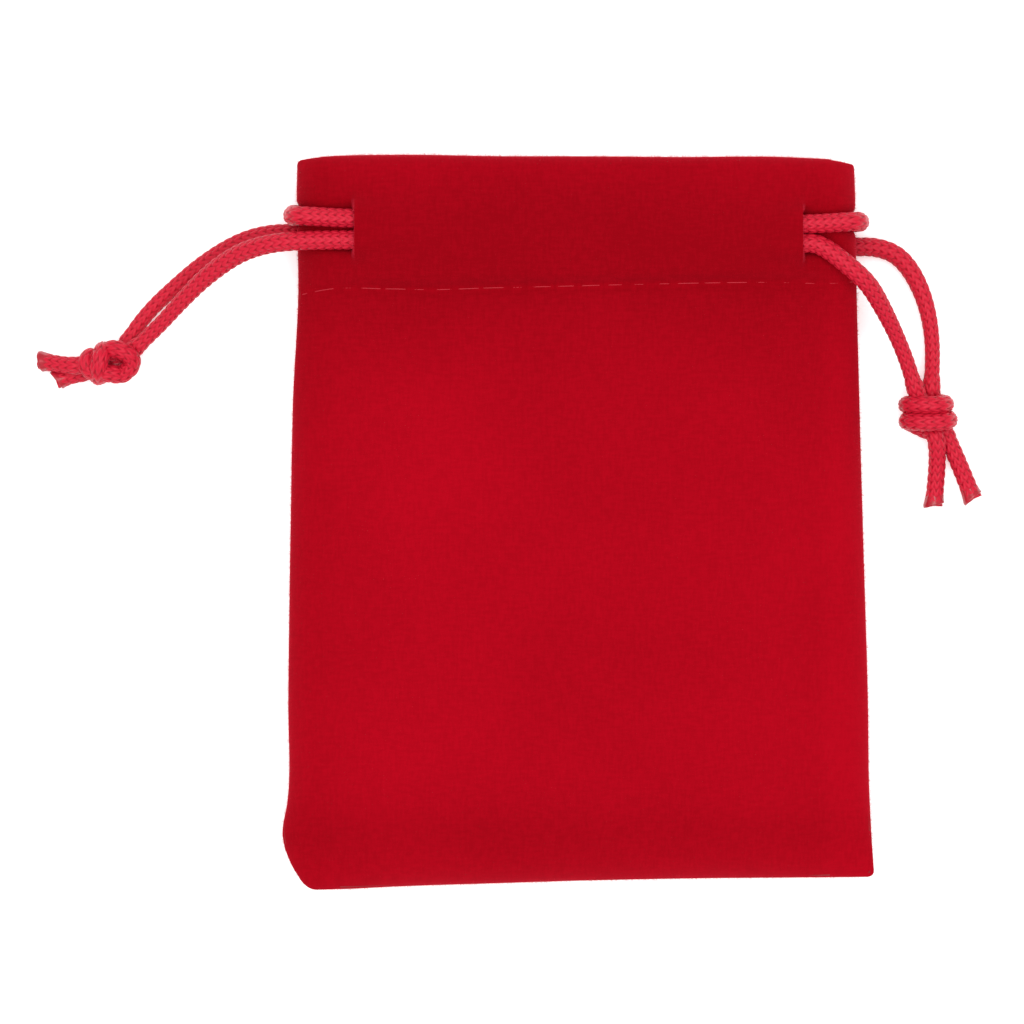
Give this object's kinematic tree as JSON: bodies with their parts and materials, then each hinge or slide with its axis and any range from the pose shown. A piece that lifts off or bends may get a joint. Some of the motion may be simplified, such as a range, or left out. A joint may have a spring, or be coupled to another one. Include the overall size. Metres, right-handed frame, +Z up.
{
  "type": "drawstring gift pouch",
  "caption": "Small flat velvet gift pouch with a hemmed mouth that two knotted drawcords pull closed from both sides.",
  "frame": {"origin": "on the surface that the pouch lies on, under the middle of the pouch without its cords", "axes": "+X to the right across the mouth, +Y from the bottom seam to the mouth, +Z up, out of the front panel"},
  "size_m": [0.1164, 0.09, 0.0124],
  "materials": {
    "velvet": "short dense pile, satin sheen",
    "thread": "fine twisted sewing thread",
    "cord": "soft round knitted cord",
    "sealed_cord": "cord melted hard at the end"
  },
  "bodies": {
    "pouch": {"back_panel": "velvet", "front_panel": "velvet", "front_hem_stitching": "thread", "back_hem_stitching": "thread", "bottom_stitching": "thread"},
    "left_side": {"left_side_strip": "velvet", "left_side_stitching": "thread"},
    "right_side": {"right_side_strip": "velvet", "right_side_stitching": "thread"},
    "left_drawcord": {"left_cord_front_tail": "cord", "left_cord_back_tail": "cord", "left_cord_front_run": "cord", "left_cord_back_run": "cord", "left_cord_loop": "cord", "left_knot": "cord", "left_cord_front_end": "cord", "left_cord_back_end": "cord", "left_sealed_tips": "sealed_cord"},
    "right_drawcord": {"right_cord_front_tail": "cord", "right_cord_back_tail": "cord", "right_cord_front_run": "cord", "right_cord_back_run": "cord", "right_cord_loop": "cord", "right_knot": "cord", "right_cord_front_end": "cord", "right_cord_back_end": "cord", "right_sealed_tips": "sealed_cord"}
  },
  "joints": [
    {"name": "left_cord_pull", "type": "slide", "parent": "pouch", "child": "left_drawcord", "axis": [-1, 0, 0], "range_m": [0, 0.012], "deforming": ["left_cord_front_run", "left_cord_back_run"]},
    {"name": "right_cord_pull", "type": "slide", "parent": "pouch", "child": "right_drawcord", "axis": [1, 0, 0], "range_m": [0, 0.012], "deforming": ["right_cord_front_run", "right_cord_back_run"]},
    {"name": "right_side_draw", "type": "hinge", "parent": "pouch", "child": "right_side", "pos_m": [0.025, -0.045, 0], "axis": [0, 0, 1], "range_deg": [0, 8.6], "deforming": ["front_panel", "back_panel", "front_hem_stitching", "back_hem_stitching", "bottom_stitching"]},
    {"name": "left_side_draw", "type": "hinge", "parent": "pouch", "child": "left_side", "pos_m": [-0.025, -0.045, 0], "axis": [0, 0, -1], "range_deg": [0, 8.6]}
  ],
  "couplings": [
    {"joint": "right_side_draw", "follows": "left_cord_pull", "rad_per_m": 12.27},
    {"joint": "left_side_draw", "follows": "right_cord_pull", "rad_per_m": 12.27}
  ]
}
